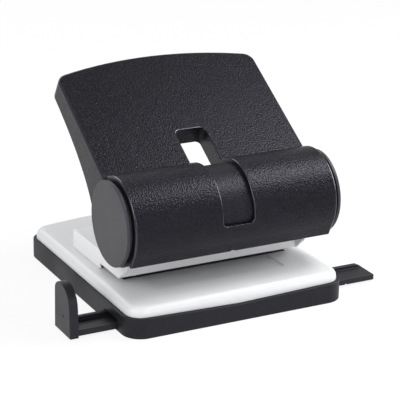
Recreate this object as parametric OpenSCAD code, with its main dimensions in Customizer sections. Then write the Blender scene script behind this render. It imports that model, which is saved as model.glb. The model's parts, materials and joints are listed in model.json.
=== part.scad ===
// Desk punch for two filing holes: a lever with a round drum at its foot turns on an axle at the paper side,
// and its cams push two pins through the paper into dies. Origin: middle of the underside, +Y to the rear.

/* [Base] */
// Width of the chip tray, left to right
base_w = 120; // [114:1:130]
// Distance from the origin to the front edge
base_front = 62; // [60:0.5:70]
// Distance from the origin to the rear corners
base_rear = 66; // [58:0.5:72]
// How far the rear edge bows out past its corners
rear_bow = 7; // [3:0.5:10]
// Corner radius of the base, seen from above
base_corner_r = 10; // [6:0.5:14]
// Height of the chip tray
tray_h = 10.2; // [9.6:0.1:14]
// Wall thickness of the chip tray
tray_wall = 2.4; // [2:0.1:3]
// Floor thickness of the chip tray
tray_floor = 1.6; // [1.2:0.1:2.4]
// Drop of the tray's front edge at the middle
front_dip = 1.5; // [0.5:0.1:2]

/* [Base plate] */
// Height of the base plate above the tray's rim
plate_h = 5.2; // [4.6:0.1:6]
// Sheet thickness of the base plate
plate_sheet = 1.6; // [1.2:0.1:2]
// Width of the tray rim left bare around the base plate
rim_ledge = 1.8; // [0.8:0.1:2.2]
// Radius of the base plate's rounded shoulder
shoulder_r = 3.6; // [2:0.1:3.8]
// Width of the shallow recess in the table
recess_w = 70.8; // [50:0.2:72]
// Distance from the recess's front edge to the pins' row
recess_reach = 23.5; // [10:0.5:26]
// Depth of the recess
recess_d = 0.6; // [0.3:0.1:0.9]

/* [Punching] */
// Spacing of the two holes, centre to centre
hole_spacing = 80; // [76:1:84]
// Diameter of the punch pins
pin_d = 6; // [5:0.1:6.5]
// Distance from the hole centres to the paper stop
hole_margin = 12; // [10:0.5:14]
// Height of the paper slot
paper_gap = 3; // [2:0.1:4]
// Radial running clearance of the pins in bushes and dies
pin_clear = 0.06; // [0.03:0.01:0.1]
// Height of a pin's tip above the frame's underside at rest
tip_lift = 0.7; // [0.4:0.1:1.2]
// Diameter of a pin's head
pin_head_d = 10; // [9:0.5:12]
// Thickness of a pin's head
pin_head_h = 3; // [2:0.1:4]
// Outer diameter of the guide bushes
bush_d = 10; // [9:0.5:12]
// Diameter of a guide bush's collar
bush_collar_d = 12.5; // [12.2:0.1:12.8]
// Thickness of a guide bush's collar
bush_collar_h = 1.5; // [1:0.1:2]
// Outer diameter of the die rings
die_d = 10; // [9:0.5:12]
// Height of the die rings
die_h = 5; // [3:0.1:5.5]
// Wire diameter of the return springs
wire_d = 1; // [0.8:0.1:1.2]
// Mean diameter of the return springs
coil_d = 9; // [8.6:0.1:10]
// Turns of a return spring
coil_turns = 4; // [3:0.5:4.5]

/* [Frame] */
// Distance from a pin's centre line to the outside of the frame's cheek
cheek_reach = 10.7; // [9.8:0.1:11.2]
// Sheet thickness of the punch frame
frame_sheet = 1.5; // [1.2:0.1:2]
// Distance from the pins' row to the frame's front face
frame_nose = 10.4; // [8:0.1:11]
// Distance from the pins' row to the frame's rear face
frame_tail = 45.4; // [42:0.2:50]
// Height of the frame's walls, with the sheet that joins them at the top
frame_rim = 7; // [5:0.5:7.5]
// Radius of the eyes that carry the axle
eye_r = 7; // [6:0.5:8]
// Shank diameter of the rivets
rivet_d = 4; // [3:0.5:5]
// Head diameter of the rivets
rivet_head_d = 7; // [6:0.5:8]
// Thickness of the rivets' heads
rivet_head_h = 1.2; // [0.8:0.1:1.6]
// Spacing of the rivets, left to right
rivet_span = 72; // [60:1:76]
// Distance from the paper stop back to the front rivets
rivet_front = 8; // [6:0.5:12]
// Distance from the frame's rear face forward to the rear rivets
rivet_rear = 9; // [8:0.5:12]
// Thickness of the lip that lines the paper slot
lip_t = 0.5; // [0.4:0.1:0.8]
// Distance from the pins' row forward to the lip's edge
lip_reach = 6; // [5.8:0.1:8]
// How far the frame overhangs the paper stop at the sides and the rear
stop_overhang = 5; // [3:0.5:7]

/* [Pivot] */
// Distance from the origin forward to the axle
axle_forward = 34.6; // [33.6:0.1:36]
// Height of the axle above the desk
axle_h = 50.4; // [50:0.1:54]
// Diameter of the axle
axle_d = 6; // [5:0.5:7]
// Radial running clearance of the press bar's ears on the axle
axle_clear = 0.06; // [0.03:0.01:0.1]
// Outer diameter of the axle clips
clip_d = 10; // [9:0.5:12]
// Thickness of the axle clips
clip_t = 1; // [0.8:0.1:1.2]

/* [Lever] */
// Lean of the press plate at rest, above the horizontal
lever_lean = 31.8; // [30:0.2:34]
// Full press of the lever
press_angle = 28; // [20:1:28]
// Radius of the drum
drum_r = 23.1; // [22.8:0.1:24]
// Distance from a cheek's outside to the end of the drum's skin
drum_reach = 4.3; // [4:0.1:4.8]
// Thickness of the drum's skin
drum_skin = 2.2; // [2:0.1:2.6]
// Angle round the drum from the press plate to the skin's straight skirt
skin_sweep = 174; // [172:1:178]
// Length of the skirt from where it leaves the drum to its lower edge
skirt_drop = 8.4; // [7:0.2:10]
// Width of the notch that marks the middle of the skirt's lower edge
notch_w = 2; // [1.4:0.2:3]
// Height of that notch
notch_h = 1.4; // [0.8:0.1:2]
// Depth of that notch
notch_d = 0.5; // [0.3:0.1:0.8]
// Distance from the axle's centre to the plane of the press plate's face
plate_offset = 10; // [9:0.1:11]
// Thickness of the press plate
press_t = 3; // [2.4:0.1:3.4]
// Distance from the axle to the crown of the top edge
plate_reach = 95; // [88:0.5:100]
// Rise of the top edge's arc over its corners
top_crown = 7; // [4:0.5:9]
// How far each side of the press plate stands out past the drum's skin
side_proud = 1.2; // [0.6:0.1:1.4]
// How far each side of the press plate draws in towards the top
side_draw = 0.5; // [0:0.1:3]
// Radius of the press plate's top corners
plate_corner_r = 6; // [4:0.5:9]
// Thickness of the lever's side and top walls
shell_wall = 2.2; // [2:0.1:2.4]
// Depth of the side walls at the top edge
wall_depth = 11.2; // [9:0.1:12]
// Angle below the press plate at which the side walls run into the drum
wall_blend_angle = 48; // [45:1:60]
// Length over which the side walls sweep into the drum
wall_blend_l = 24; // [20:1:30]
// Thickness of the stiffening ribs
rib_t = 1.8; // [1.4:0.1:2.4]
// Depth of the stiffening ribs
rib_depth = 4; // [2:0.5:5]
// Spacing of the stiffening ribs
rib_pitch = 30; // [24:1:36]

/* [Slot] */
// Width of the slot
slot_w = 16.8; // [12:0.2:18]
// Distance from the axle to the slot's upper end
slot_top = 43; // [40:0.5:46]
// Angle round the drum from the press plate to the slot's lower end
slot_sweep = 153; // [135:1:156]
// Corner radius of the slot
slot_corner_r = 2.5; // [1.5:0.1:3]
// Wall thickness of the collar around the slot
collar_wall = 2; // [1.6:0.1:2.4]
// Depth of the slot's collar behind the press plate's face
collar_depth = 11; // [9:0.5:12]
// Thickness of the slot panel
panel_t = 1.6; // [1.2:0.1:2.2]
// How far the slot panel reaches past the slot's edges
panel_lap = 4; // [3:0.5:6]

/* [End caps] */
// Radius of the end caps
cap_r = 21.2; // [20.8:0.1:22.2]
// Thickness of an end cap's disc
cap_t = 1.8; // [1.4:0.1:2.4]
// Width of the groove behind an end cap
groove_w = 1.6; // [0.8:0.1:1.8]
// Depth of the groove behind an end cap
groove_d = 1.4; // [1:0.1:2]
// Radius of the spigot that holds an end cap
spigot_r = 5; // [4:0.5:7]

/* [Press bar] */
// Thickness of the press bar's web
web_t = 2; // [1.6:0.1:2.4]
// Distance from the axle to the near edge of the web
web_near = 24; // [23.5:0.5:26]
// Distance from the axle to the far edge of the web
web_far = 56; // [54:0.5:60]
// Thickness of the cam ears
ear_t = 3; // [2.4:0.1:4]
// Radius of the cams' base circle, also the distance from the axle back to the pins' row
cam_r = 17; // [16.5:0.1:17.5]
// Turn from the cam's base circle to its point of contact at rest, in degrees
cam_start = 20; // [18:0.5:22]
// Gap between a cam and its pin's head
cam_gap = 0.3; // [0.2:0.05:0.5]
// Outer diameter of the screw bosses
boss_d = 7; // [6:0.5:8]
// Height of the screw bosses
boss_h = 6; // [5:0.5:7]
// Shank diameter of the press screws
screw_d = 3; // [2.5:0.5:3.5]
// Head diameter of the press screws
screw_head_d = 5.6; // [5:0.1:6.5]
// Thickness of the press screws' heads
screw_head_h = 2; // [1.5:0.1:2.5]
// Spacing of the press screws, left to right
screw_span = 48; // [42:1:56]
// Distance from the web's near edge to the lower screws
screw_near = 6; // [5:0.5:8]
// Distance from the web's far edge to the upper screws
screw_far = 9; // [6:0.5:10]

/* [Paper guide] */
// Width of the guide bar
guide_w = 14.5; // [13:0.5:16]
// Distance from the origin forward to the guide bar's centre line
guide_forward = 39.4; // [38:0.2:41]
// Thickness of the guide bar's floor
guide_t = 3; // [2.6:0.1:3.4]
// Width of the guide bar's rear rail
rail_w = 2.6; // [2:0.1:3.4]
// Height of the guide bar's rear rail above its floor
rail_h = 1.6; // [1:0.1:2]
// Width of the guide bar's front rail
front_rail_w = 2.2; // [1.6:0.1:3]
// Depth of the channel between the rails
channel_d = 0.6; // [0.4:0.1:1.2]
// Length of the guide bar to the left of the origin
guide_left = 84.8; // [80:0.2:95]
// Length of the guide bar to the right of the origin
guide_right = 86.2; // [78:0.2:95]
// Width of the upright stop
stop_w = 19; // [15:0.5:21]
// Height of the upright stop
stop_h = 25.4; // [20:0.2:32]
// Height over which the stop's front edge rounds to its top
stop_arch_front = 11; // [8:0.2:13]
// Height over which the stop's rear edge rounds to its top
stop_arch_rear = 5; // [4:0.2:7]
// Distance of the stop's highest point behind its middle
stop_peak = 1.5; // [0:0.1:3]
// Amount by which each side of the stop draws in up to its rounded top
stop_draw = 0.6; // [0.2:0.1:1]
// Thickness of the upright stop
stop_t = 4.6; // [3:0.1:5.5]
// Height of the guide bar above the desk
guide_z = 0.8; // [0.7:0.1:1.2]
// Height of the upright stop above the desk
stop_z = 0.3; // [0.2:0.1:0.6]
// How far the upright stop leads the guide bar's front edge
stop_lead = 1.2; // [0.6:0.1:1.6]
// Length of the slope at the right end of the rear rail
rail_slope = 3.3; // [2:0.1:6]
// Distance from the base's right side to the end of the channel
channel_short = 7; // [4:0.5:10]
// Distance from the guide bar's right end to the notch in its front edge
notch_back = 16.8; // [12:0.2:18]
// Size of that notch
notch_size = 0.8; // [0.6:0.1:1.2]
// Sliding clearance of the guide bar in its tunnel
guide_play = 0.3; // [0.2:0.05:0.5]
// Thickness of the tunnel's floor, roof and walls
tunnel_wall = 1.2; // [1:0.1:1.5]

/* [Hidden] */
$fn = 64;

// Clearance of seats inside one body, and overshoot of cutting tools
seat_gap = 0.05;
cut = 1;
// Gap under the guide bar in its tunnel
slide_gap = 0.1;
degree = PI / 180;

// Places that follow from the sizes above
frame_w = hole_spacing + 2 * cheek_reach;
drum_l = frame_w + 2 * drum_reach;
plate_w_low = drum_l + 2 * side_proud;
plate_w_top = plate_w_low - 2 * side_draw;
table_z = tray_h + plate_h;
frame_z = table_z + paper_gap;
axle_y = -axle_forward;
pin_x = hole_spacing / 2;
pin_y = axle_y + cam_r;
stop_y = pin_y + hole_margin;
frame_front_y = pin_y - frame_nose;
frame_rear_y = pin_y + frame_tail;
frame_top = frame_z + frame_rim;
sheet_z = frame_top - frame_sheet;
bush_top = frame_top + bush_collar_h;
contact_z = axle_h - cam_r * cam_start * degree;
pin_top = contact_z - cam_gap;
spring_top = pin_top - pin_head_h;
skin_r = drum_r - drum_skin;
guide_top = guide_z + guide_t + rail_h;
rivet_ys = [stop_y + rivet_front, frame_rear_y - rivet_rear];
rivet_xs = [-rivet_span / 2, rivet_span / 2];
plate_back = plate_offset - press_t;
web_top = plate_back - boss_h;
// The screws stop short of the bosses' ends
screw_bite = boss_h - 1;
slot_edge = slot_w / 2 + collar_wall;
screw_ss = [web_near + screw_near, web_far - screw_far];
cap_face = drum_l / 2 + groove_w + cap_t;

// Points of an arc about a centre, from one angle to another
function arc(c, r, a0, a1, n) = [
    for (i = [0:n]) let (a = a0 + (a1 - a0) * i / n) c + r * [cos(a), sin(a)]
];
function bezier(a, b, c, n) = [for (i = [0:n]) let (t = i / n)
    a * (1 - t) ^ 2 + b * 2 * t * (1 - t) + c * t ^ 2];

// Extrudes an outline drawn in the side view, so that its first axis is Y and its second is Z
module side_extrude(w) {
    rotate([90, 0, 90]) linear_extrude(w, center = true) children();
}

// A cylinder along X, from x0 to x1
module x_cylinder(r, x0, x1) {
    translate([x0, 0, 0]) rotate([0, 90, 0]) cylinder(r = r, h = x1 - x0);
}

// Puts lever coordinates in place: X along the axle, Y up the press plate, Z out of its face
module on_lever() {
    translate([0, axle_y, axle_h]) rotate([lever_lean, 0, 0]) children();
}

// The base seen from above, drawn in by an inset
bow_r = ((base_w / 2) ^ 2 + rear_bow ^ 2) / (2 * rear_bow);
bow_y = base_rear + rear_bow - bow_r;
corner_x = base_w / 2 - base_corner_r;
rear_corner_y = bow_y + sqrt((bow_r - base_corner_r) ^ 2 - corner_x ^ 2);
bow_angle = atan2(rear_corner_y - bow_y, corner_x);
function base_half(d) = concat(
    arc([corner_x, base_corner_r - base_front], base_corner_r - d, -90, 0, 10),
    arc([corner_x, rear_corner_y], base_corner_r - d, 0, bow_angle, 10),
    [for (i = [1:7]) [0, bow_y] + (bow_r - d) * [cos(bow_angle + (90 - bow_angle) * i / 8),
        sin(bow_angle + (90 - bow_angle) * i / 8)]],
    [[0, bow_y + bow_r - d]]
);
function base_loop(d) = let (half = base_half(d))
    concat(half, [for (i = [len(half) - 2:-1:0]) [-half[i][0], half[i][1]]]);
module base_outline(d) {
    polygon(base_loop(d));
}

// A solid lofted through base outlines, each given as an inset and a height
module base_loft(levels) {
    loops = [for (level = levels) base_loop(level[0])];
    n = len(loops[0]);
    last = len(levels) - 1;
    points = [for (i = [0:last]) for (p = loops[i]) [p[0], p[1], levels[i][1]]];
    walls = [
        for (i = [0:last - 1], k = [0:n - 1]) let (
            a = i * n + k,
            b = i * n + (k + 1) % n
        )
        each [[a, a + n, b], [b, a + n, b + n]]
    ];
    floor_fan = [for (k = [1:n - 2]) [0, k, k + 1]];
    roof_fan = [for (k = [1:n - 2]) [last * n, last * n + k + 1, last * n + k]];
    polyhedron(points, concat(walls, floor_fan, roof_fan));
}

// The shallow wedge by which the tray's front edge dips, lowered by a clearance
module front_wedge(gap, reach) {
    drop = front_dip - gap;
    translate([0, reach - base_front, tray_h]) rotate([90, 0, 0]) linear_extrude(reach + cut)
        polygon([[-corner_x, 0], [0, -drop], [corner_x, 0], [corner_x, cut], [-corner_x, cut]]);
}

// Block that runs across the base at the guide bar, with room around the bar
module guide_block(side, low, high, length) {
    translate([-length / 2, -guide_forward - guide_w / 2 - side, low])
        cube([length, guide_w + 2 * side, high - low]);
}

module chip_tray() {
    tunnel_top = guide_top + guide_play;
    color([0.1, 0.1, 0.11]) difference() {
        union() {
            difference() {
                linear_extrude(tray_h) base_outline(0);
                translate([0, 0, tray_floor]) linear_extrude(tray_h) base_outline(tray_wall);
            }
            guide_block(guide_play + tunnel_wall, 0, tunnel_top + tunnel_wall, base_w - tray_wall);
        }
        guide_block(guide_play, guide_z - slide_gap, tunnel_top, base_w + 2 * cut);
        front_wedge(0, base_corner_r);
    }
}

module guide_stop_outline() {
    half = stop_w / 2;
    upper_half = half - stop_draw;
    front = [for (a = [0:15:90])
        [stop_peak - (upper_half + stop_peak) * cos(a), stop_h - stop_arch_front * (1 - sin(a))]];
    rear = [for (a = [75:-15:0])
        [stop_peak + (upper_half - stop_peak) * cos(a), stop_h - stop_arch_rear * (1 - sin(a))]];
    polygon(concat([[-half, 0]], front, rear, [[half, 0]]));
}

module guide_rail() {
    stop_inner = stop_t - guide_left;
    rear_y = guide_w / 2 - guide_forward;
    front_y = -guide_w / 2 - guide_forward;
    notch_x = guide_right - notch_back;
    channel_end = base_w / 2 - channel_short;
    start = stop_inner - cut;
    color([0.13, 0.13, 0.14]) difference() {
        union() {
            translate([start, front_y, guide_z]) cube([guide_right - start, guide_w, guide_t]);
            translate([0, rear_y, 0]) rotate([90, 0, 0]) linear_extrude(rail_w) polygon([
                [start, guide_z], [guide_right, guide_z], [guide_right, guide_z + guide_t],
                [guide_right - rail_slope, guide_top], [start, guide_top]
            ]);
            translate([stop_inner - stop_t / 2, front_y + stop_w / 2 - stop_lead, stop_z])
                side_extrude(stop_t) guide_stop_outline();
        }
        translate([stop_inner, front_y + front_rail_w, guide_z + guide_t - channel_d])
            cube([channel_end - stop_inner, guide_w - front_rail_w - rail_w, channel_d + cut]);
        translate([notch_x, front_y, guide_z]) rotate([0, 45, 0])
            cube([notch_size, 3 * notch_size, notch_size], center = true);
    }
}

module base_plate() {
    bore_d = die_d + 2 * seat_gap;
    skirt = rim_ledge + plate_sheet;
    color([0.86, 0.87, 0.88]) difference() {
        union() {
            difference() {
                base_loft(concat([[rim_ledge, tray_h]], [for (a = [0:22.5:90])
                    [rim_ledge + shoulder_r * (1 - cos(a)), table_z - shoulder_r * (1 - sin(a))]]));
                translate([0, 0, tray_h - cut]) linear_extrude(plate_h - plate_sheet + cut) base_outline(skirt);
            }
            intersection() {
                translate([0, 0, tray_h - front_dip]) linear_extrude(front_dip + plate_sheet) difference() {
                    base_outline(rim_ledge);
                    base_outline(skirt);
                }
                front_wedge(seat_gap, base_corner_r);
            }
        }
        for (side = [-1, 1]) {
            translate([side * pin_x, pin_y, tray_h]) cylinder(d = bore_d, h = plate_h + cut);
        }
        for (x = rivet_xs, y = rivet_ys) {
            translate([x, y, tray_h]) cylinder(d = rivet_d + 2 * seat_gap, h = plate_h + cut);
        }
        translate([-recess_w / 2, pin_y - recess_reach, table_z - recess_d])
            cube([recess_w, recess_reach + hole_margin - cut, recess_d + cut]);
    }
}

module die_ring(side) {
    color([0.55, 0.56, 0.58]) translate([side * pin_x, pin_y, table_z - die_h]) difference() {
        cylinder(d = die_d, h = die_h);
        translate([0, 0, -cut]) cylinder(d = pin_d + 2 * pin_clear, h = die_h + 2 * cut);
    }
}
module die_ring_left() { die_ring(-1); }
module die_ring_right() { die_ring(1); }

module paper_stop() {
    half = frame_w / 2 - stop_overhang;
    height = sheet_z - table_z;
    lip_y = pin_y - lip_reach;
    rear_y = frame_rear_y - stop_overhang;
    color([0.09, 0.09, 0.1]) difference() {
        union() {
            translate([-half, stop_y, table_z]) cube([2 * half, rear_y - stop_y, height]);
            translate([-half, lip_y, table_z]) cube([2 * half, rear_y - lip_y, lip_t]);
        }
        for (side = [-1, 1]) {
            translate([side * pin_x, pin_y, table_z - cut]) cylinder(d = die_d, h = lip_t + 2 * cut);
        }
        for (x = rivet_xs, y = rivet_ys) {
            translate([x, y, table_z - cut]) cylinder(d = rivet_d + 2 * seat_gap, h = height + 2 * cut);
        }
    }
}

// One cheek of the frame in the side view: it stands on the table behind the paper stop's face,
// clears the paper in front of it and rises forwards to the axle's eye
module cheek_outline() {
    neck_lead = 1.5;
    nose_slope = 40;
    cheek_foot = 8;
    neck_y = axle_y - neck_lead;
    neck_z = frame_z + (frame_front_y - neck_y) * tan(nose_slope);
    difference() {
        union() {
            polygon([
                [frame_front_y, frame_z], [stop_y, frame_z], [stop_y, table_z], [frame_rear_y, table_z],
                [frame_rear_y, frame_z + frame_rim], [pin_y + cheek_foot, frame_z + frame_rim],
                [axle_y + eye_r, axle_h], [axle_y - eye_r, axle_h], [neck_y, neck_z]
            ]);
            translate([axle_y, axle_h]) circle(eye_r);
        }
        translate([axle_y, axle_h]) circle(d = axle_d + 2 * seat_gap);
    }
}

module punch_frame() {
    depth = frame_rear_y - frame_front_y;
    color([0.83, 0.84, 0.85]) difference() {
        union() {
            translate([-frame_w / 2, frame_front_y, sheet_z]) cube([frame_w, depth, frame_sheet]);
            translate([-frame_w / 2, frame_front_y, frame_z]) cube([frame_w, frame_sheet, frame_rim]);
            translate([-frame_w / 2, frame_rear_y - frame_sheet, frame_z])
                cube([frame_w, frame_sheet, frame_rim]);
            for (side = [-1, 1]) {
                translate([side * (frame_w - frame_sheet) / 2, 0, 0]) side_extrude(frame_sheet) cheek_outline();
            }
        }
        for (side = [-1, 1]) {
            translate([side * pin_x, pin_y, sheet_z - cut])
                cylinder(d = bush_d + 2 * seat_gap, h = frame_sheet + 2 * cut);
        }
        for (x = rivet_xs, y = rivet_ys) {
            translate([x, y, sheet_z - cut]) cylinder(d = rivet_d + 2 * seat_gap, h = frame_sheet + 2 * cut);
        }
    }
}

module frame_rivets() {
    low = table_z - plate_sheet;
    high = frame_top;
    color([0.7, 0.71, 0.73]) for (x = rivet_xs, y = rivet_ys) {
        translate([x, y, low - rivet_head_h]) {
            cylinder(d = rivet_head_d, h = rivet_head_h);
            cylinder(d = rivet_d, h = high - low + 2 * rivet_head_h);
            translate([0, 0, high - low + rivet_head_h]) cylinder(d = rivet_head_d, h = rivet_head_h);
        }
    }
}

module guide_bush(side) {
    color([0.72, 0.6, 0.32]) translate([side * pin_x, pin_y, frame_z]) difference() {
        union() {
            cylinder(d = bush_d, h = bush_top - frame_z);
            translate([0, 0, frame_rim]) cylinder(d = bush_collar_d, h = bush_collar_h);
        }
        translate([0, 0, -cut]) cylinder(d = pin_d + 2 * pin_clear, h = frame_rim + bush_collar_h + 2 * cut);
    }
}
module guide_bush_left() { guide_bush(-1); }
module guide_bush_right() { guide_bush(1); }

module punch_pin(side) {
    tip_z = frame_z + tip_lift;
    groove = pin_d / 3;
    color([0.62, 0.63, 0.66]) translate([side * pin_x, pin_y, 0]) difference() {
        union() {
            translate([0, 0, tip_z]) cylinder(d = pin_d, h = pin_top - tip_z);
            translate([0, 0, spring_top]) cylinder(d = pin_head_d, h = pin_head_h);
        }
        translate([0, 0, tip_z - groove / 2]) rotate([45, 0, 0])
            cube([2 * pin_d, groove, groove], center = true);
    }
}
module punch_pin_left() { punch_pin(-1); }
module punch_pin_right() { punch_pin(1); }

// Centre line of a return spring, with a short straight run at each end
rings_per_turn = 8;
coil_low = bush_top + wire_d / 2 + seat_gap;
coil_high = spring_top - wire_d / 2 - seat_gap;
coil_steps = coil_turns * rings_per_turn;
function coil_point(i) = [
    coil_d / 2 * cos(360 * i / rings_per_turn), coil_d / 2 * sin(360 * i / rings_per_turn),
    coil_low + (coil_high - coil_low) * i / coil_steps
];
coil_end_angle = 360 * coil_turns;
coil_path = concat(
    [coil_point(0) + [0, -wire_d, 0]],
    [for (i = [0:coil_steps]) coil_point(i)],
    [coil_point(coil_steps) + wire_d * [-sin(coil_end_angle), cos(coil_end_angle), 0]]
);
// Least gap between the wire of one turn and that of the next
coil_gap = min([
    for (i = [1:coil_steps], j = [i + 5:1:coil_steps + 1]) norm(coil_path[i] - coil_path[j])
]) - wire_d;
echo(spring_gap_mm = coil_gap);

module wire_tube(path, r, sides) {
    last = len(path) - 1;
    points = [
        for (i = [0:last]) let (
            t = path[min(i + 1, last)] - path[max(i - 1, 0)],
            f = t / norm(t),
            u = [-f[1], f[0], 0] / norm([f[0], f[1]]),
            v = cross(f, u)
        )
        for (k = [0:sides - 1]) path[i] + r * (cos(360 * k / sides) * u + sin(360 * k / sides) * v)
    ];
    walls = [
        for (i = [0:last - 1], k = [0:sides - 1]) let (
            a = i * sides + k,
            b = i * sides + (k + 1) % sides
        )
        each [[a, a + sides, b], [b, a + sides, b + sides]]
    ];
    ends = [
        for (k = [1:sides - 2]) each [[0, k, k + 1], [last * sides, last * sides + k + 1, last * sides + k]]
    ];
    polyhedron(points, concat(walls, ends));
}

module return_spring(side) {
    color([0.6, 0.61, 0.63]) translate([side * pin_x, pin_y, 0]) wire_tube(coil_path, wire_d / 2, 6);
}
module return_spring_left() { return_spring(-1); }
module return_spring_right() { return_spring(1); }

// The axle runs through both cheeks, with a groove for a clip just outside each
clip_x = frame_w / 2 + seat_gap;
clip_groove = 0.6;
axle_proud = 0.5;
groove_r = axle_d / 2 - clip_groove;
axle_end = clip_x + clip_t + axle_proud;
module pivot_axle() {
    color([0.66, 0.67, 0.7]) translate([0, axle_y, axle_h]) difference() {
        x_cylinder(axle_d / 2, -axle_end, axle_end);
        for (side = [-1, 1]) {
            translate([side * (clip_x + clip_t / 2), 0, 0]) difference() {
                x_cylinder(axle_d, -clip_t / 2 - seat_gap, clip_t / 2 + seat_gap);
                x_cylinder(groove_r, -clip_t, clip_t);
            }
        }
    }
}

module axle_clips() {
    opening = 1.4 * groove_r;
    color([0.4, 0.41, 0.43]) for (side = [-1, 1]) {
        translate([side * (clip_x + clip_t / 2), axle_y, axle_h]) difference() {
            x_cylinder(clip_d / 2, -clip_t / 2, clip_t / 2);
            x_cylinder(groove_r + seat_gap, -clip_t, clip_t);
            translate([-clip_t, -opening / 2, -clip_d]) cube([2 * clip_t, opening, clip_d]);
        }
    }
}

// Involute of the base circle, seen from the side at rest: its lowest point always stands over the pin
function involute(t) = let (a = t - cam_start)
    cam_r * [cos(a), sin(a)] + cam_r * t * degree * [sin(a), -cos(a)];
module ear_outline() {
    // The nose runs a little past the first and the last contact
    nose_over = 8;
    nose_steps = 11;
    lap = 0.5;
    arm_rise = 4;
    nose_back = [cam_r + eye_r, 5];
    nose_turn = press_angle + 2 * nose_over;
    nose = [for (i = [0:nose_steps]) involute(cam_start - nose_over + nose_turn * i / nose_steps)];
    difference() {
        union() {
            circle(eye_r);
            rotate(-lever_lean) polygon(concat([[0, lap - eye_r]], nose, [nose_back, [0, eye_r - lap]]));
            polygon([
                [0, eye_r - lap], [web_near + arm_rise, web_top], [web_far, web_top],
                [web_far, web_top - 2 * web_t], [web_near, web_top - 3 * web_t], [0, lap - eye_r]
            ]);
        }
        circle(d = axle_d + 2 * axle_clear);
    }
}

module press_bar() {
    half = pin_x + ear_t / 2;
    window_room = 1.5;
    window = slot_edge + window_room;
    color([0.6, 0.61, 0.64]) on_lever() difference() {
        union() {
            translate([-half, web_near, web_top - web_t]) cube([2 * half, web_far - web_near, web_t]);
            for (side = [-1, 1]) {
                translate([side * pin_x, 0, 0]) side_extrude(ear_t) ear_outline();
            }
        }
        translate([-window, web_near - cut, web_top - web_t - cut])
            cube([2 * window, slot_top + collar_wall + window_room - web_near + cut, web_t + 2 * cut]);
        for (side = [-1, 1], s = screw_ss) {
            translate([side * screw_span / 2, s, web_top - web_t - cut])
                cylinder(d = screw_d + 2 * seat_gap, h = web_t + 2 * cut);
        }
    }
}

module press_screws() {
    color([0.5, 0.51, 0.53]) on_lever() for (side = [-1, 1], s = screw_ss) {
        translate([side * screw_span / 2, s, web_top - web_t - screw_head_h]) {
            cylinder(d = screw_head_d, h = screw_head_h);
            cylinder(d = screw_d, h = screw_head_h + web_t + screw_bite);
        }
    }
}

// The press plate seen square on: sides that draw in, a crowned top edge and round top corners
side_run = plate_reach - top_crown - skin_r;
side_slope = atan((plate_w_low - plate_w_top) / 2 / side_run);
side_dist = plate_w_low / 2 * cos(side_slope) + skin_r * sin(side_slope);
crown_r = ((plate_w_top / 2) ^ 2 + top_crown ^ 2) / (2 * top_crown);
crown_y = plate_reach - crown_r;
corner_reach = side_dist - plate_corner_r - crown_y * sin(side_slope);
corner_run = sqrt((crown_r - plate_corner_r) ^ 2 - corner_reach ^ 2);
corner_c = [0, crown_y] + corner_reach * [cos(side_slope), sin(side_slope)]
    + corner_run * [-sin(side_slope), cos(side_slope)];
crown_angle = atan2(corner_c[1] - crown_y, corner_c[0]);
function side_x(s, d) = (side_dist - d - s * sin(side_slope)) / cos(side_slope);
function plate_half(low, d) = concat(
    [[side_x(low, d), low]],
    arc(corner_c, plate_corner_r - d, side_slope, crown_angle, 8),
    [for (i = [1:7]) [0, crown_y] + (crown_r - d) * [cos(crown_angle + (90 - crown_angle) * i / 8),
        sin(crown_angle + (90 - crown_angle) * i / 8)]],
    [[0, crown_y + crown_r - d]]
);
module plate_outline(low, d) {
    half = plate_half(low, d);
    polygon(concat(half, [for (i = [len(half) - 2:-1:0]) [-half[i][0], half[i][1]]]));
}

// The side walls in the side view: shallow at the top edge, sweeping back into the drum
module wall_outline() {
    blend = [cos(wall_blend_angle), -sin(wall_blend_angle)] * drum_r;
    pull = blend + wall_blend_l * [sin(wall_blend_angle), cos(wall_blend_angle)];
    back_top = plate_offset - wall_depth;
    polygon(concat(
        [[0, 0], [0, plate_offset], [plate_reach + cut, plate_offset], [plate_reach + cut, back_top]],
        bezier([plate_reach, back_top], pull, blend, 12)
    ));
}

// Part of a ring about the axle, between two angles round the drum from the press plate
module drum_sector(r_out, r_in, a0, a1, length) {
    rotate([90, 0, 90]) translate([0, 0, -length / 2]) rotate([0, 0, a0])
        rotate_extrude(angle = a1 - a0) translate([r_in, 0]) square([r_out - r_in, length]);
}

// A cutting block for one end of the slot: it runs back from the end, which has round corners
module slot_end(run, low, depth) {
    straight = slot_w - 2 * slot_corner_r;
    translate([-slot_w / 2, -run, low]) cube([slot_w, run - slot_corner_r, depth]);
    translate([-straight / 2, -run, low]) cube([straight, run, depth]);
    for (side = [-1, 1]) {
        translate([side * straight / 2, -slot_corner_r, low]) cylinder(r = slot_corner_r, h = depth);
    }
}

// The slot is cut in three steps: a window through the press plate, a run down the drum's front and its foot
// The foot is cut square to the drum at foot_turn below the press plate's normal
run_start = 0;
foot_turn = asin(0.8);
foot_tilt = slot_sweep - 90 - foot_turn;
foot_run = 9;
module slot_window() {
    translate([0, slot_top, 0]) slot_end(slot_top - skin_r + cut / 2, -drum_r, drum_r + plate_offset + cut);
}
module slot_run() {
    drum_sector(drum_r + cut, skin_r - cut, run_start, slot_sweep - 1.5 * foot_tilt, slot_w);
}
module slot_foot() {
    rotate([foot_turn, 0, 0]) translate([0, -drum_r * sin(foot_tilt), 0])
        mirror([0, 1, 0]) slot_end(foot_run, skin_r - 2 * drum_skin, 3 * drum_skin + cut);
}

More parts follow.
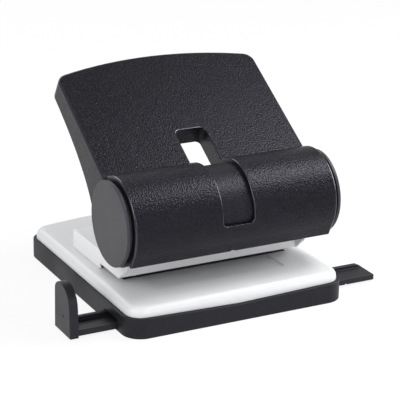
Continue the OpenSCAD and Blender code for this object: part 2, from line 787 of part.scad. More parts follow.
module lever_shell() {
    // The drum's skin starts inside the press plate
    skin_lap = 1;
    skin_start = asin(plate_back / drum_r) - skin_lap;
    // The skirt's face lies a little inside the drum's, so that the two meet in a clean line
    skirt_inset = 0.18;
    skirt_face = drum_r - skirt_inset;
    skirt_back = skin_r - 3 * skirt_inset;
    skirt_t = skirt_face - skirt_back;
    skirt_lap = 2;
    skin_end = skin_sweep + acos(skirt_face / drum_r) + skin_lap;
    far = 3 * drum_r;
    collar_low = plate_offset - collar_depth;
    // The press plate ends inside the thickness of the drum's skin
    plate_start = (sqrt(skin_r ^ 2 - plate_back ^ 2) + sqrt(drum_r ^ 2 - plate_offset ^ 2)) / 2;
    end_disc_r = (3 * cap_r + drum_r) / 4;
    collar_gap = 0.6;
    collar_start = skin_r + collar_gap;
    color([0.08, 0.08, 0.09]) on_lever() difference() {
        union() {
            translate([0, 0, plate_back]) linear_extrude(press_t) plate_outline(plate_start, 0);
            difference() {
                intersection() {
                    translate([0, 0, -drum_r]) linear_extrude(drum_r + plate_offset) difference() {
                        plate_outline(0, 0);
                        translate([0, -cut]) plate_outline(0, shell_wall);
                    }
                    side_extrude(base_w) wall_outline();
                }
                x_cylinder(cap_r + 3 * seat_gap, -base_w, base_w);
            }
            side_extrude(drum_l) {
                intersection() {
                    difference() {
                        circle(drum_r);
                        circle(skin_r);
                    }
                    polygon([[0, 0], far * [cos(skin_start), sin(skin_start)], [0, 2 * far],
                        far * [cos(skin_end), sin(skin_end)]]);
                }
                rotate(skin_sweep) translate([skirt_back, -skirt_lap])
                    square([skirt_t, skirt_drop + skirt_lap]);
            }
            for (side = [-1, 1]) {
                translate([side * (drum_l - shell_wall) / 2, 0, 0])
                    x_cylinder(end_disc_r, -shell_wall / 2, shell_wall / 2);
            }
            translate([-slot_edge, collar_start, collar_low])
                cube([2 * slot_edge, slot_top + collar_wall - collar_start, collar_depth - press_t / 2]);
            intersection() {
                translate([0, 0, plate_back - rib_depth]) linear_extrude(rib_depth + press_t / 2)
                    plate_outline(web_far + cut, shell_wall / 2);
                for (x = [-rib_pitch, 0, rib_pitch]) {
                    translate([x - rib_t / 2, web_far + cut, plate_back - rib_depth])
                        cube([rib_t, plate_reach, rib_depth + press_t]);
                }
            }
            for (side = [-1, 1], s = screw_ss) {
                translate([side * screw_span / 2, s, web_top]) cylinder(d = boss_d, h = boss_h + press_t / 2);
            }
        }
        slot_window();
        slot_run();
        slot_foot();
        rotate([skin_sweep, 0, 0]) translate([-notch_w / 2, skirt_face - notch_d, skirt_drop - notch_h])
            cube([notch_w, notch_d + cut, notch_h + cut]);
        for (side = [-1, 1], s = screw_ss) {
            translate([side * screw_span / 2, s, web_top - cut])
                cylinder(d = screw_d + 2 * seat_gap, h = screw_bite + seat_gap + cut);
        }
        x_cylinder(spigot_r + seat_gap, -drum_l, drum_l);
    }
}

module slot_panel() {
    top_lap = -5;
    foot_lap = panel_lap / drum_r / degree;
    color([0.05, 0.05, 0.055]) on_lever() {
        drum_sector(
            skin_r - seat_gap, skin_r - panel_t, top_lap, slot_sweep + foot_lap, slot_w + 2 * panel_lap
        );
    }
}

module end_cap(side) {
    start = drum_l / 2;
    color([0.16, 0.16, 0.17]) translate([0, axle_y, axle_h]) mirror([side < 0 ? 1 : 0, 0, 0]) union() {
        x_cylinder(cap_r, start + groove_w, cap_face);
        x_cylinder(cap_r - groove_d, start, start + groove_w);
        x_cylinder(spigot_r, start - shell_wall, start + groove_w);
    }
}
module end_cap_left() { end_cap(-1); }
module end_cap_right() { end_cap(1); }

chip_tray();
guide_rail();
base_plate();
die_ring_left();
die_ring_right();
paper_stop();
punch_frame();
frame_rivets();
guide_bush_left();
guide_bush_right();
punch_pin_left();
punch_pin_right();
return_spring_left();
return_spring_right();
pivot_axle();
axle_clips();
press_bar();
press_screws();
lever_shell();
slot_panel();
end_cap_left();
end_cap_right();
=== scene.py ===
import json
import math

import bmesh
import bpy
from mathutils import Euler, Matrix, Vector


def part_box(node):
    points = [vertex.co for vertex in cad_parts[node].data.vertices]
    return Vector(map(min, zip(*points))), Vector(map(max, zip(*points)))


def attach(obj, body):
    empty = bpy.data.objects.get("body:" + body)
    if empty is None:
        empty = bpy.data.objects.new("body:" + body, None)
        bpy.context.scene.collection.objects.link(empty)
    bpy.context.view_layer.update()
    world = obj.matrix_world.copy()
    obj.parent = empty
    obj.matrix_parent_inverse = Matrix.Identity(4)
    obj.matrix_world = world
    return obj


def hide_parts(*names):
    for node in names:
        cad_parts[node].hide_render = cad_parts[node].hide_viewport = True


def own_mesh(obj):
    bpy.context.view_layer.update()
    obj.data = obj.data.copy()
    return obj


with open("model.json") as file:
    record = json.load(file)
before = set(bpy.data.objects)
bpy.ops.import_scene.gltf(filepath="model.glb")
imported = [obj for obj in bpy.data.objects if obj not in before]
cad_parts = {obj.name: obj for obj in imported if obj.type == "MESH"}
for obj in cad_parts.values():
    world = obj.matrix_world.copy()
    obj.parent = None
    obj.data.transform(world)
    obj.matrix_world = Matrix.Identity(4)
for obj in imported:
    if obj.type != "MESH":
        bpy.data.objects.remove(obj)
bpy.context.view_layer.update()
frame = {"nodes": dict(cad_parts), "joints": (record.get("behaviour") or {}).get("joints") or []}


# Chip tray: a shallow black tray, moulded in one piece, that snaps under the table and catches the chips.
# Its rim shows as a narrow ledge round the table, and a tunnel across its front carries the paper guide.
mm = 0.001


def pick(piece):
    """Selects one piece alone and makes it the active one."""
    bpy.ops.object.select_all(action="DESELECT")
    piece.select_set(True)
    bpy.context.view_layer.objects.active = piece


def even_shading(piece, sharp=30):
    """Smooths a piece's shading but keeps its large flats flat beside their rounded edges."""
    bpy.ops.object.shade_smooth_by_angle(angle=math.radians(sharp))
    weighing = piece.modifiers.new("weighing", "WEIGHTED_NORMAL")
    weighing.mode = "FACE_AREA"
    weighing.weight = 100
    weighing.keep_sharp = True
    bpy.ops.object.modifier_apply(modifier="weighing")


def softened(node, piece, edge_round, sharp=30, flat=0.4):
    """Copies a CAD node's mesh as a new piece, and rounds its edges as a mould or a press does.

    Faces within flat degrees of each other are joined, and edges of more than sharp degrees are rounded.
    """
    made = bpy.data.objects.new(piece, frame["nodes"][node].data.copy())
    bpy.context.scene.collection.objects.link(made)
    pick(made)
    bpy.ops.object.mode_set(mode="EDIT")
    bpy.ops.mesh.select_all(action="SELECT")
    bpy.ops.mesh.remove_doubles(threshold=0.002 * mm)
    bpy.ops.mesh.customdata_custom_splitnormals_clear()
    bpy.ops.mesh.dissolve_limited(angle_limit=math.radians(flat))
    bpy.ops.object.mode_set(mode="OBJECT")
    if edge_round:
        rounding = made.modifiers.new("rounding", "BEVEL")
        rounding.width = edge_round
        rounding.segments = 3
        rounding.limit_method = "ANGLE"
        rounding.angle_limit = math.radians(sharp)
        rounding.use_clamp_overlap = False
        bpy.ops.object.modifier_apply(modifier="rounding")
    even_shading(made, sharp)
    return made


def finish_piece(piece, node, body, material):
    """Gives a piece its material and its body, and hides its CAD node, so that the piece stands for it."""
    piece.data.materials.clear()
    piece.data.materials.append(material)
    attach(piece, body)
    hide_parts(node)


def new_group(name, takes, gives):
    """Starts a shader node group from its named inputs, with their values, and its named outputs."""
    tree = bpy.data.node_groups.new(name, "ShaderNodeTree")
    for label, value in takes.items():
        kind = "NodeSocketVector" if value is None else "NodeSocketFloat"
        socket = tree.interface.new_socket(label, in_out="INPUT", socket_type=kind)
        if value is not None:
            socket.default_value = value
    for label in gives:
        tree.interface.new_socket(label, in_out="OUTPUT", socket_type="NodeSocketFloat")
    return tree, tree.nodes.new("NodeGroupInput"), tree.nodes.new("NodeGroupOutput")


def math_node(tree, operation, first, second):
    """Adds a Math node whose two operands are sockets or numbers, and returns its result."""
    node = tree.nodes.new("ShaderNodeMath")
    node.operation = operation
    for place, operand in enumerate((first, second)):
        if isinstance(operand, (int, float)):
            node.inputs[place].default_value = operand
        else:
            tree.links.new(operand, node.inputs[place])
    return node.outputs[0]


# The moulded grain is the eroded texture of the mould: rounded pits about as wide as they are apart.
drift_share = 0.7
fleck_low, fleck_high = 0.35, 0.65
grain_group, grain_in, grain_out = new_group(
    "moulded_grain", {"Vector": None, "Size": 0.5 * mm}, ["Height", "Fleck"])
grain_scale = math_node(grain_group, "DIVIDE", 1.0, grain_in.outputs["Size"])
drift_scale = math_node(grain_group, "MULTIPLY", grain_scale, drift_share)
grain_pits = grain_group.nodes.new("ShaderNodeTexVoronoi")
grain_pits.feature = "SMOOTH_F1"
grain_pits.inputs["Smoothness"].default_value = 0.6
grain_drift = grain_group.nodes.new("ShaderNodeTexNoise")
grain_drift.inputs["Detail"].default_value = 3
grain_drift.inputs["Roughness"].default_value = 0.6
for texture, scale in ((grain_pits, grain_scale), (grain_drift, drift_scale)):
    grain_group.links.new(grain_in.outputs["Vector"], texture.inputs["Vector"])
    grain_group.links.new(scale, texture.inputs["Scale"])
grain_sum = math_node(grain_group, "ADD", grain_pits.outputs["Distance"], grain_drift.outputs["Fac"])
grain_mean = math_node(grain_group, "MULTIPLY", grain_sum, 0.5)
grain_group.links.new(grain_mean, grain_out.inputs["Height"])
grain_spread = grain_group.nodes.new("ShaderNodeMapRange")
grain_spread.inputs["From Min"].default_value = fleck_low
grain_spread.inputs["From Max"].default_value = fleck_high
grain_group.links.new(grain_drift.outputs["Fac"], grain_spread.inputs["Value"])
grain_group.links.new(grain_spread.outputs["Result"], grain_out.inputs["Fleck"])

# Handling leaves a surface a little smoother here and rougher there, in soft patches.
patch_low, patch_high = 0.3, 0.7
patch_group, patch_in, patch_out = new_group(
    "uneven_finish", {"Vector": None, "Patches": 60.0, "Low": 0.3, "High": 0.5}, ["Value"])
patch_noise = patch_group.nodes.new("ShaderNodeTexNoise")
patch_noise.inputs["Detail"].default_value = 5
patch_range = patch_group.nodes.new("ShaderNodeMapRange")
patch_range.inputs["From Min"].default_value = patch_low
patch_range.inputs["From Max"].default_value = patch_high
patch_group.links.new(patch_in.outputs["Vector"], patch_noise.inputs["Vector"])
patch_group.links.new(patch_in.outputs["Patches"], patch_noise.inputs["Scale"])
patch_group.links.new(patch_noise.outputs["Fac"], patch_range.inputs["Value"])
patch_group.links.new(patch_in.outputs["Low"], patch_range.inputs["To Min"])
patch_group.links.new(patch_in.outputs["High"], patch_range.inputs["To Max"])
patch_group.links.new(patch_range.outputs["Result"], patch_out.inputs["Value"])

# Edges that hands and paper brush are rubbed a little lighter, more in some places than in others.
wear_gain = 5.0
wear_breaks = 220
wear_group, wear_in, wear_out = new_group(
    "rubbed_edges", {"Vector": None, "Radius": 0.6 * mm, "Amount": 0.5}, ["Mask"])
wear_round = wear_group.nodes.new("ShaderNodeBevel")
wear_face = wear_group.nodes.new("ShaderNodeNewGeometry")
wear_dot = wear_group.nodes.new("ShaderNodeVectorMath")
wear_dot.operation = "DOT_PRODUCT"
wear_break = wear_group.nodes.new("ShaderNodeTexNoise")
wear_break.inputs["Scale"].default_value = wear_breaks
wear_break.inputs["Detail"].default_value = 4
wear_group.links.new(wear_in.outputs["Radius"], wear_round.inputs["Radius"])
wear_group.links.new(wear_round.outputs["Normal"], wear_dot.inputs[0])
wear_group.links.new(wear_face.outputs["Normal"], wear_dot.inputs[1])
wear_group.links.new(wear_in.outputs["Vector"], wear_break.inputs["Vector"])
wear_turn = math_node(wear_group, "SUBTRACT", 1.0, wear_dot.outputs["Value"])
wear_edge = math_node(wear_group, "MINIMUM", math_node(wear_group, "MULTIPLY", wear_turn, wear_gain), 1.0)
wear_broken = math_node(wear_group, "MULTIPLY", wear_edge, wear_break.outputs["Fac"])
wear_mask = math_node(wear_group, "MULTIPLY", wear_broken, wear_in.outputs["Amount"])
wear_group.links.new(wear_mask, wear_out.inputs["Mask"])


def placed_group(material, group, **values):
    """Places a node group in a material, reads Object coordinates into it and sets its other inputs."""
    tree = material.node_tree
    node = tree.nodes.new("ShaderNodeGroup")
    node.node_tree = group
    coordinates = tree.nodes.new("ShaderNodeTexCoord")
    tree.links.new(coordinates.outputs["Object"], node.inputs["Vector"])
    for label, value in values.items():
        node.inputs[label].default_value = value
    return node


def mixed(tree, factor, first, second):
    """Mixes two colours by a mask. Each is a colour value or a socket."""
    node = tree.nodes.new("ShaderNodeMix")
    node.data_type = "RGBA"
    tree.links.new(factor, node.inputs["Factor"])
    for label, colour in (("A", first), ("B", second)):
        socket = [s for s in node.inputs if s.name == label and s.type == "RGBA"][0]
        if isinstance(colour, tuple):
            socket.default_value = (*colour, 1)
        else:
            tree.links.new(colour, socket)
    return [s for s in node.outputs if s.type == "RGBA"][0]


def new_material(name):
    """Starts a material and returns it with its node tree and its Principled shader."""
    material = bpy.data.materials.new(name)
    material.use_nodes = True
    return material, material.node_tree, material.node_tree.nodes["Principled BSDF"]


def add_relief(tree, shader, height, depth):
    """Gives a shader the relief of a height with a depth, and returns the Bump node."""
    relief = tree.nodes.new("ShaderNodeBump")
    relief.inputs["Distance"].default_value = depth
    tree.links.new(height, relief.inputs["Height"])
    tree.links.new(relief.outputs["Normal"], shader.inputs["Normal"])
    return relief


def plastic(name, deep, pale, rubbed, rough, shine, grain_size, grain_depth, wear=0.5, polish=0.15):
    """Moulded plastic: a colour flecked by its grain, rubbed edges, uneven sheen and the grain's own relief.

    Faces that are marked as a rounded rim have less relief, are smoother by polish and shine more.
    """
    sheen_patches = 45.0
    rubbed_width = 0.7 * mm
    rim_shine = 0.6
    rim_smoothing = 0.9
    cool_tint = (0.85, 0.84, 1.0, 1)
    material, tree, shader = new_material(name)
    grain = placed_group(material, grain_group, Size=grain_size)
    sheen = placed_group(material, patch_group, Patches=sheen_patches, Low=rough[0], High=rough[1])
    edges = placed_group(material, wear_group, Radius=rubbed_width, Amount=wear)
    body_colour = mixed(tree, grain.outputs["Fleck"], deep, pale)
    tree.links.new(mixed(tree, edges.outputs["Mask"], body_colour, rubbed), shader.inputs["Base Color"])
    rim = tree.nodes.new("ShaderNodeAttribute")
    rim.attribute_name = "rounded_rim"
    polished = math_node(tree, "MULTIPLY", rim.outputs["Fac"], polish)
    tree.links.new(math_node(tree, "SUBTRACT", sheen.outputs["Value"], polished), shader.inputs["Roughness"])
    rim_gloss = math_node(tree, "MULTIPLY", rim.outputs["Fac"], rim_shine)
    tree.links.new(math_node(tree, "ADD", rim_gloss, shine), shader.inputs["Specular IOR Level"])
    shader.inputs["Specular Tint"].default_value = cool_tint
    relief = add_relief(tree, shader, grain.outputs["Height"], grain_depth)
    rim_smooth = math_node(tree, "MULTIPLY", rim.outputs["Fac"], rim_smoothing)
    tree.links.new(math_node(tree, "SUBTRACT", 1.0, rim_smooth), relief.inputs["Strength"])
    return material


tray_plastic = plastic(
    "tray_plastic", deep=(0.008, 0.008, 0.009), pale=(0.014, 0.014, 0.016), rubbed=(0.05, 0.05, 0.054),
    rough=(0.42, 0.56), shine=0.25, grain_size=0.4 * mm, grain_depth=0.03 * mm)
tray = softened("chip_tray", "chip_tray_moulding", edge_round=0.35 * mm)
finish_piece(tray, "chip_tray", "tray", tray_plastic)


# Paper guide: a black moulded bar with a channel between two rails and an upright stop at its left end.
# It slides through the tray's tunnel, and the paper's edge is laid against the stop.
# The mould's gate has left a small round dimple on the stop's outer face.
guide_plastic = plastic(
    "guide_plastic", deep=(0.009, 0.009, 0.011), pale=(0.016, 0.016, 0.018), rubbed=(0.06, 0.06, 0.064),
    rough=(0.36, 0.46), shine=0.3, grain_size=0.35 * mm, grain_depth=0.015 * mm)
guide = softened("guide_rail", "paper_guide_bar", edge_round=0.4 * mm)
stop_face_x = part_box("guide_rail")[0].x
gate_mark = (stop_face_x, -39.7 * mm, 9.4 * mm)
gate_mark_r = 0.7 * mm
bpy.ops.object.select_all(action="DESELECT")
bpy.ops.mesh.primitive_uv_sphere_add(segments=24, ring_count=16, radius=gate_mark_r, location=gate_mark)
gate_cutter = bpy.context.object
pick(guide)
gate_cut = guide.modifiers.new("gate_cut", "BOOLEAN")
gate_cut.object = gate_cutter
gate_cut.operation = "DIFFERENCE"
bpy.ops.object.modifier_apply(modifier="gate_cut")
bpy.data.objects.remove(gate_cutter)
even_shading(guide)
finish_piece(guide, "guide_rail", "paper_guide", guide_plastic)


# Table: a pressed sheet-steel cover in pale enamel with a rounded shoulder all round.
# A shallow recess in its top leads the paper to the two dies.
def enamel(name, colour, thin, rough, coat):
    """Baked enamel on sheet steel: a faint orange peel, uneven gloss and a thinner coat along the edges."""
    peel_size, peel_depth = 1.4 * mm, 0.004 * mm
    gloss_patches, tone_patches = 35.0, 18.0
    shade_share = 0.97
    material, tree, shader = new_material(name)
    peel = placed_group(material, grain_group, Size=peel_size)
    gloss = placed_group(material, patch_group, Patches=gloss_patches, Low=rough[0], High=rough[1])
    tone = placed_group(material, patch_group, Patches=tone_patches, Low=0.0, High=1.0)
    edges = placed_group(material, wear_group, Radius=0.5 * mm, Amount=0.5)
    shade = tuple(shade_share * c for c in colour)
    flat_colour = mixed(tree, tone.outputs["Value"], shade, colour)
    tree.links.new(mixed(tree, edges.outputs["Mask"], flat_colour, thin), shader.inputs["Base Color"])
    tree.links.new(gloss.outputs["Value"], shader.inputs["Roughness"])
    shader.inputs["Specular IOR Level"].default_value = 0.35
    shader.inputs["Coat Weight"].default_value = coat
    shader.inputs["Coat Roughness"].default_value = 0.3
    add_relief(tree, shader, peel.outputs["Height"], peel_depth)
    return material


table_enamel = enamel(
    "table_enamel", colour=(0.67, 0.68, 0.69), thin=(0.58, 0.59, 0.6), rough=(0.3, 0.38), coat=0.15)
table = softened("base_plate", "table_cover", edge_round=0.25 * mm, flat=0.02)
finish_piece(table, "base_plate", "base", table_enamel)


# Paper stop: a black moulded insert under the frame, against which the paper's edge is pushed.
# Its thin black lip lines the floor of the paper slot under the pins; its black also serves as painted shade
# for the slot's shaded floor.
paper_stop = softened("paper_stop", "paper_stop_insert", edge_round=0.15 * mm)
finish_piece(paper_stop, "paper_stop", "base", guide_plastic)


# Dies: rings of hardened steel, ground and pressed into the table under the pins.
# The paper is cut between a pin's tip and the inner edge of its die.
def steel(name, dark, bright, rough, grain, turned):
    """Worked metal: fine tool lines drawn out along one direction, with uneven polish and bright edges."""
    line_depth = 0.004 * mm
    polish_patches = 140.0
    material, tree, shader = new_material(name)
    shader.inputs["Metallic"].default_value = 1.0
    coordinates = tree.nodes.new("ShaderNodeTexCoord")
    stretch = tree.nodes.new("ShaderNodeMapping")
    stretch.inputs["Scale"].default_value = turned
    lines = tree.nodes.new("ShaderNodeTexNoise")
    lines.inputs["Scale"].default_value = 1 / grain
    lines.inputs["Detail"].default_value = 4
    tree.links.new(coordinates.outputs["Object"], stretch.inputs["Vector"])
    tree.links.new(stretch.outputs["Vector"], lines.inputs["Vector"])
    polish = placed_group(material, patch_group, Patches=polish_patches, Low=rough[0], High=rough[1])
    edges = placed_group(material, wear_group, Radius=0.3 * mm, Amount=0.8)
    worked = mixed(tree, lines.outputs["Fac"], dark, bright)
    tree.links.new(mixed(tree, edges.outputs["Mask"], worked, bright), shader.inputs["Base Color"])
    tree.links.new(polish.outputs["Value"], shader.inputs["Roughness"])
    add_relief(tree, shader, lines.outputs["Fac"], line_depth)
    return material


tool_steel = steel(
    "ground_tool_steel", dark=(0.38, 0.385, 0.4), bright=(0.58, 0.59, 0.61),
    rough=(0.2, 0.34), grain=0.3 * mm, turned=(0.2, 0.2, 4))
for side in ("left", "right"):
    die = softened("die_ring_" + side, "die_ring_ground_" + side, edge_round=0.15 * mm)
    finish_piece(die, "die_ring_" + side, "base", tool_steel)


# Frame: one sheet-steel pressing in pale enamel over the paper slot, with its front and rear turned down.
# Its two cheeks carry the axle, and rivets hold it down through the paper stop.
frame_enamel = enamel(
    "frame_enamel", colour=(0.78, 0.785, 0.795), thin=(0.68, 0.69, 0.7), rough=(0.28, 0.4), coat=0.2)
punch_frame = softened("punch_frame", "punch_frame_pressing", edge_round=0.55 * mm)
finish_piece(punch_frame, "punch_frame", "base", frame_enamel)


# Rivets: four of zinc-plated steel, with a head at both ends.
# They are set through the frame, the paper stop and the table, and hold the three together.
plated_steel = steel(
    "plated_steel", dark=(0.5, 0.505, 0.52), bright=(0.68, 0.69, 0.7),
    rough=(0.24, 0.38), grain=0.6 * mm, turned=(1, 1, 1))
rivets = softened("frame_rivets", "frame_rivets_set", edge_round=0.4 * mm)
finish_piece(rivets, "frame_rivets", "base", plated_steel)


# Guide bushes: turned brass sleeves with a collar, pressed into the frame above the dies.
# They keep the pins upright, and the springs stand on their collars.
turned_brass = steel(
    "turned_brass", dark=(0.56, 0.4, 0.16), bright=(0.78, 0.61, 0.3),
    rough=(0.22, 0.36), grain=0.25 * mm, turned=(0.3, 0.3, 5))
for side in ("left", "right"):
    bush = softened("guide_bush_" + side, "guide_bush_turned_" + side, edge_round=0.25 * mm)
    finish_piece(bush, "guide_bush_" + side, "base", turned_brass)


# Punch pins: ground rods of hardened steel with a notched cutting tip and a flat head.
# They slide in the bushes, and the press bar's cams push on their heads.
for side in ("left", "right"):
    pin = softened("punch_pin_" + side, "punch_pin_ground_" + side, edge_round=0.15 * mm)
    finish_piece(pin, "punch_pin_" + side, "punch_" + side, tool_steel)


# Return springs: coils of drawn wire between bush and pin head, which lift the pins and the lever.
# Each is one round wire wound at an even pitch. The real one shortens as its pin goes down; this coil is
# fixed to the base and keeps its length.
def joint(name):
    """Finds one of the frame's joints by its name."""
    return [j for j in frame["joints"] if j["name"] == name][0]


spring_steel = steel(
    "drawn_spring_wire", dark=(0.3, 0.305, 0.32), bright=(0.5, 0.51, 0.53),
    rough=(0.28, 0.4), grain=0.2 * mm, turned=(1, 1, 1))
wire_r = 0.5 * mm
coil_turns = 4
steps_a_turn = 40
wire_smoothing = math.radians(40)
for side in ("left", "right"):
    spring_low, spring_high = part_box("return_spring_" + side)
    bush_low, bush_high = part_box("guide_bush_" + side)
    coil_r = (spring_high.x - spring_low.x) / 2 - wire_r
    axis_x = (bush_low.x + bush_high.x) / 2
    axis_y = (bush_low.y + bush_high.y) / 2
    rise = spring_high.z - spring_low.z - 2 * wire_r
    bpy.ops.object.select_all(action="DESELECT")
    bpy.ops.mesh.primitive_circle_add(
        vertices=14, radius=wire_r, location=(coil_r, 0, 0), rotation=(math.pi / 2, 0, 0))
    spring = bpy.context.object
    spring.name = "return_spring_coil_" + side
    bpy.ops.object.transform_apply(location=True, rotation=True, scale=True)
    winding = spring.modifiers.new("winding", "SCREW")
    winding.axis = "Z"
    winding.angle = 2 * math.pi
    winding.screw_offset = rise / coil_turns
    winding.iterations = coil_turns
    winding.steps = steps_a_turn
    winding.render_steps = steps_a_turn
    bpy.ops.object.modifier_apply(modifier="winding")
    bpy.ops.object.mode_set(mode="EDIT")
    bpy.ops.mesh.select_all(action="SELECT")
    bpy.ops.mesh.remove_doubles(threshold=0.001 * mm)
    bpy.ops.mesh.select_all(action="DESELECT")
    bpy.ops.mesh.select_mode(type="EDGE")
    bpy.ops.mesh.select_non_manifold()
    bpy.ops.mesh.edge_face_add()
    bpy.ops.mesh.select_all(action="SELECT")
    bpy.ops.mesh.normals_make_consistent(inside=False)
    bpy.ops.object.mode_set(mode="OBJECT")
    spring.location = (axis_x, axis_y, spring_low.z + wire_r)
    bpy.ops.object.transform_apply(location=True, rotation=True, scale=True)
    bpy.ops.object.shade_smooth_by_angle(angle=wire_smoothing)
    finish_piece(spring, "return_spring_" + side, "base", spring_steel)
    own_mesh(spring)


# Axle: a rod of zinc-plated steel through both cheeks, on which the lever turns.
# It has a groove near each end for its clip.
axle = softened("pivot_axle", "pivot_axle_rod", edge_round=0.2 * mm)
finish_piece(axle, "pivot_axle", "base", plated_steel)


# Axle clips: open rings of spring steel, one at each end of the axle.
# They snap into its grooves outside the cheeks and keep it in place.
clips = softened("axle_clips", "axle_clips_pair", edge_round=0.15 * mm)
finish_piece(clips, "axle_clips", "base", spring_steel)


# Press bar: a stamping of zinc-plated steel that turns on the axle, with a cam at each side.
# It is screwed to the lever, and its cams push the pins down.
press_bar = softened("press_bar", "press_bar_stamping", edge_round=0.25 * mm)
finish_piece(press_bar, "press_bar", "lever", plated_steel)


# Press screws: four zinc-plated screws with pan heads.
# They go through the press bar into the bosses behind the lever's plate.
screws = softened("press_screws", "press_screws_set", edge_round=0.3 * mm)
finish_piece(screws, "press_screws", "lever", plated_steel)


# Lever: one black grained moulding, a leaning press plate that runs into a round drum at its foot.
# Its sides are drawn down into thin walls, and a slot runs from the plate over the drum's front.
# The rims of the plate, the slot, the drum and its skirt are rounded, each by its own width.
lever_plastic = plastic(
    "lever_plastic", deep=(0.001, 0.001, 0.002), pale=(0.0085, 0.008, 0.0115), rubbed=(0.03, 0.03, 0.035),
    rough=(0.3, 0.36), shine=0.22, grain_size=0.7 * mm, grain_depth=0.36 * mm, wear=0.9)
lever = softened("lever_shell", "lever_moulding", edge_round=0)
axle_place = Vector(joint("lever_hinge")["pos_m"])
lever_lean = math.radians(31.8)
drum_r = 23.1 * mm
plate_face = 10 * mm
side_proud = 1.2 * mm
side_band = 2 * mm
slot_half = 8.4 * mm
slot_top = 43 * mm
far_part = 2 * slot_top
skirt_angle = math.radians(174)
skirt_inset = 0.18 * mm
skirt_face = drum_r - skirt_inset
skirt_drop = 8.4 * mm
skirt_band = 1.5 * mm
drum_half = max(abs(v.co.x) for v in lever.data.vertices) - side_proud
near = 0.06 * mm


def along_lever(point):
    """Gives a point's place across the lever, along its press plate and out from it, all from the axle."""
    across, back, up = point - axle_place
    return (
        across,
        back * math.cos(lever_lean) + up * math.sin(lever_lean),
        up * math.cos(lever_lean) - back * math.sin(lever_lean))


def on_plate_rim(point):
    """Tells whether a point is on the press plate's side or far edges."""
    across, along, out = along_lever(point)
    return abs(out - plate_face) < near and (abs(across) > drum_half - side_band or along > far_part)


def on_slot_rim(point):
    """Tells whether a point is on the slot's outer edge, in the plate or in the drum."""
    across, along, out = along_lever(point)
    on_plate = abs(out - plate_face) < near and along < slot_top + near
    on_drum = abs(math.hypot(along, out) - drum_r) < near
    return abs(across) < slot_half + near and (on_plate or on_drum)


def on_skirt(along, out):
    """Tells whether a place is on the skirt's face, and how far down the skirt it is."""
    face = along * math.cos(skirt_angle) + out * math.sin(skirt_angle)
    down = out * math.cos(skirt_angle) - along * math.sin(skirt_angle)
    return abs(face - skirt_face) < near and down > 0, down


def on_drum_end(point):
    """Tells whether a point is on the outer edge of one of the drum's ends."""
    across, along, out = along_lever(point)
    on_face = abs(math.hypot(along, out) - drum_r) < near or on_skirt(along, out)[0]
    return on_face and abs(abs(across) - drum_half) < near


def on_skirt_edge(point):
    """Tells whether a point is on the skirt's lower edge."""
    _, along, out = along_lever(point)
    on_face, down = on_skirt(along, out)
    return on_face and down > skirt_drop - skirt_band


def round_edges(piece, chosen, width, segments, clamped=True, sharp=30):
    """Rounds a piece's sharp outer edges with both ends at a chosen place, and marks the new faces."""
    pick(piece)
    bpy.ops.object.mode_set(mode="EDIT")
    bpy.ops.mesh.select_mode(type="EDGE")
    bpy.ops.mesh.select_all(action="DESELECT")
    edit = bmesh.from_edit_mesh(piece.data)
    for edge in edit.edges:
        if not edge.is_manifold or edge.calc_face_angle() < math.radians(sharp) or not edge.is_convex:
            continue
        if all(chosen(v.co) for v in edge.verts):
            edge.select_set(True)
    bmesh.update_edit_mesh(piece.data)
    bpy.ops.mesh.bevel(
        offset=width, offset_type="OFFSET", segments=segments, affect="EDGES", clamp_overlap=clamped)
    edit = bmesh.from_edit_mesh(piece.data)
    rim = edit.faces.layers.float.get("rounded_rim") or edit.faces.layers.float.new("rounded_rim")
    for face in edit.faces:
        if face.select:
            face[rim] = 1.0
    bmesh.update_edit_mesh(piece.data)
    bpy.ops.object.mode_set(mode="OBJECT")


round_edges(lever, on_plate_rim, width=1.0 * mm, segments=4)
round_edges(lever, on_slot_rim, width=0.5 * mm, segments=4, clamped=False)
round_edges(lever, on_drum_end, width=0.9 * mm, segments=4)
round_edges(lever, on_skirt_edge, width=0.4 * mm, segments=3)
even_shading(lever)
finish_piece(lever, "lever_shell", "lever", lever_plastic)


# Slot panel: a black moulded strip, curved round the axle and set just inside the drum.
# It closes the slot where it runs down the drum's front.
panel_plastic = plastic(
    "panel_plastic", deep=(0.004, 0.004, 0.006), pale=(0.014, 0.0135, 0.018), rubbed=(0.03, 0.03, 0.035),
    rough=(0.34, 0.42), shine=0.22, grain_size=0.65 * mm, grain_depth=0.25 * mm)
panel = softened("slot_panel", "slot_panel_strip", edge_round=0.2 * mm)
finish_piece(panel, "slot_panel", "lever", panel_plastic)


# End caps: smooth dark moulded discs, plugged into the drum's ends.
# Each is set off from the drum by a narrow groove.
cap_plastic = plastic(
    "cap_plastic", deep=(0.028, 0.027, 0.031), pale=(0.038, 0.037, 0.042), rubbed=(0.06, 0.06, 0.064),
    rough=(0.4, 0.5), shine=0.4, grain_size=0.5 * mm, grain_depth=0.02 * mm)
for side in ("left", "right"):
    cap = softened("end_cap_" + side, "end_cap_disc_" + side, edge_round=0.5 * mm)
    finish_piece(cap, "end_cap_" + side, "lever", cap_plastic)


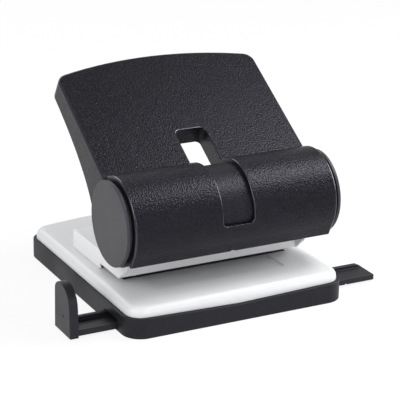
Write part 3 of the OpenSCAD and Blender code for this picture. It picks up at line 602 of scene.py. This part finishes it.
# Stage: a white floor that keeps a share of the punch's soft shadow, and a white surround.
# The floor goes down with the tray, so that it does not hide the tray when that is dropped.
floor_half = 4.0
floor_drop = 0.05 * mm
shadow_share = 0.15
bpy.ops.object.select_all(action="DESELECT")
bpy.ops.mesh.primitive_plane_add(size=2 * floor_half, location=(0, 0, -floor_drop))
floor = bpy.context.object
floor.name = "studio_floor"
floor_white, floor_tree, floor_shader = new_material("studio_white")
floor_shader.inputs["Base Color"].default_value = (0.9, 0.9, 0.9, 1)
floor_shader.inputs["Roughness"].default_value = 0.9
floor_shader.inputs["Specular IOR Level"].default_value = 0.0
floor_glow = floor_tree.nodes.new("ShaderNodeEmission")
floor_mix = floor_tree.nodes.new("ShaderNodeMixShader")
floor_path = floor_tree.nodes.new("ShaderNodeLightPath")
seen_rays = math_node(
    floor_tree, "MAXIMUM", floor_path.outputs["Is Camera Ray"], floor_path.outputs["Is Glossy Ray"])
seen_rays = math_node(floor_tree, "MAXIMUM", seen_rays, floor_path.outputs["Is Transmission Ray"])
plain_share = math_node(floor_tree, "MULTIPLY", seen_rays, 1 - shadow_share)
floor_tree.links.new(plain_share, floor_mix.inputs["Fac"])
floor_tree.links.new(floor_shader.outputs["BSDF"], floor_mix.inputs[1])
floor_tree.links.new(floor_glow.outputs["Emission"], floor_mix.inputs[2])
floor_tree.links.new(floor_mix.outputs["Shader"], floor_tree.nodes["Material Output"].inputs["Surface"])
floor.data.materials.append(floor_white)
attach(floor, "tray")

# The surround looks plain white, lights softly, and mirrors dimmer in front of the punch than behind it.
fill_light = 0.4
front_y, rear_y = -0.9, 0.1
front_glow, rear_glow = 0.17, 0.5
world = bpy.data.worlds.new("studio_surround")
bpy.context.scene.world = world
world.use_nodes = True
world_tree = world.node_tree
surround = world_tree.nodes["Background"]
surround.inputs["Color"].default_value = (1, 1, 1, 1)
world_path = world_tree.nodes.new("ShaderNodeLightPath")
world_way = world_tree.nodes.new("ShaderNodeTexCoord")
world_axes = world_tree.nodes.new("ShaderNodeSeparateXYZ")
world_tree.links.new(world_way.outputs["Generated"], world_axes.inputs["Vector"])
glow = world_tree.nodes.new("ShaderNodeMapRange")
glow.inputs["From Min"].default_value = front_y
glow.inputs["From Max"].default_value = rear_y
glow.inputs["To Min"].default_value = front_glow
glow.inputs["To Max"].default_value = rear_glow
world_tree.links.new(world_axes.outputs["Y"], glow.inputs["Value"])
mirrored = math_node(world_tree, "MULTIPLY", world_path.outputs["Is Glossy Ray"], glow.outputs["Result"])
shown = math_node(world_tree, "MAXIMUM", world_path.outputs["Is Camera Ray"], mirrored)
shown = math_node(world_tree, "MAXIMUM", shown, world_path.outputs["Is Transmission Ray"])
lit = math_node(world_tree, "MULTIPLY", world_path.outputs["Is Diffuse Ray"], fill_light)
world_tree.links.new(math_node(world_tree, "MAXIMUM", shown, lit), surround.inputs["Strength"])


# Lamps: four soft boxes round the punch, at its left, back, right and front, as in a product studio.
# A small fifth one close above its right end draws the highlight along the drum.
lamp_aim = Vector((0, 0, 0.04))


def soft_box(name, place, size, power):
    """Adds a square area lamp at a place, turned towards the punch."""
    lamp = bpy.data.lights.new(name, "AREA")
    lamp.size = size
    lamp.energy = power
    box = bpy.data.objects.new(name, lamp)
    box.location = place
    box.rotation_euler = (lamp_aim - Vector(place)).to_track_quat("-Z", "Y").to_euler()
    bpy.context.scene.collection.objects.link(box)


soft_box("left_soft_box", place=(-1.0, -0.45, 0.7), size=0.8, power=9)
soft_box("back_soft_box", place=(-0.1, 1.0, 0.8), size=0.9, power=5)
soft_box("top_soft_box", place=(0.175, -0.09, 0.31), size=0.12, power=0.68)
soft_box("right_soft_box", place=(0.8, -0.1, 0.35), size=0.5, power=4.5)
soft_box("front_soft_box", place=(0.1, -1.4, 0.5), size=0.8, power=5)


# Camera: a long lens that looks down on the punch from its front left, rolled very slightly.
# Its place, turn and focal length were fitted to the outline in the photograph.
eye = Vector((-370.6 * mm, -728.9 * mm, 335.4 * mm))
yaw = math.radians(27.47)
pitch = math.radians(19.7)
roll = math.radians(0.82)
picture_px = 400
focal_px = 1700
camera_data = bpy.data.cameras.new("photo_camera")
camera_data.sensor_width = 36
camera_data.lens = camera_data.sensor_width * focal_px / picture_px
camera = bpy.data.objects.new("photo_camera", camera_data)
camera.location = eye
aimed = Euler((math.pi / 2 - pitch, 0, -yaw)).to_matrix() @ Matrix.Rotation(roll, 3, "Z")
camera.rotation_euler = aimed.to_euler()
bpy.context.scene.collection.objects.link(camera)
bpy.context.scene.camera = camera
bpy.context.scene.view_settings.view_transform = "Standard"
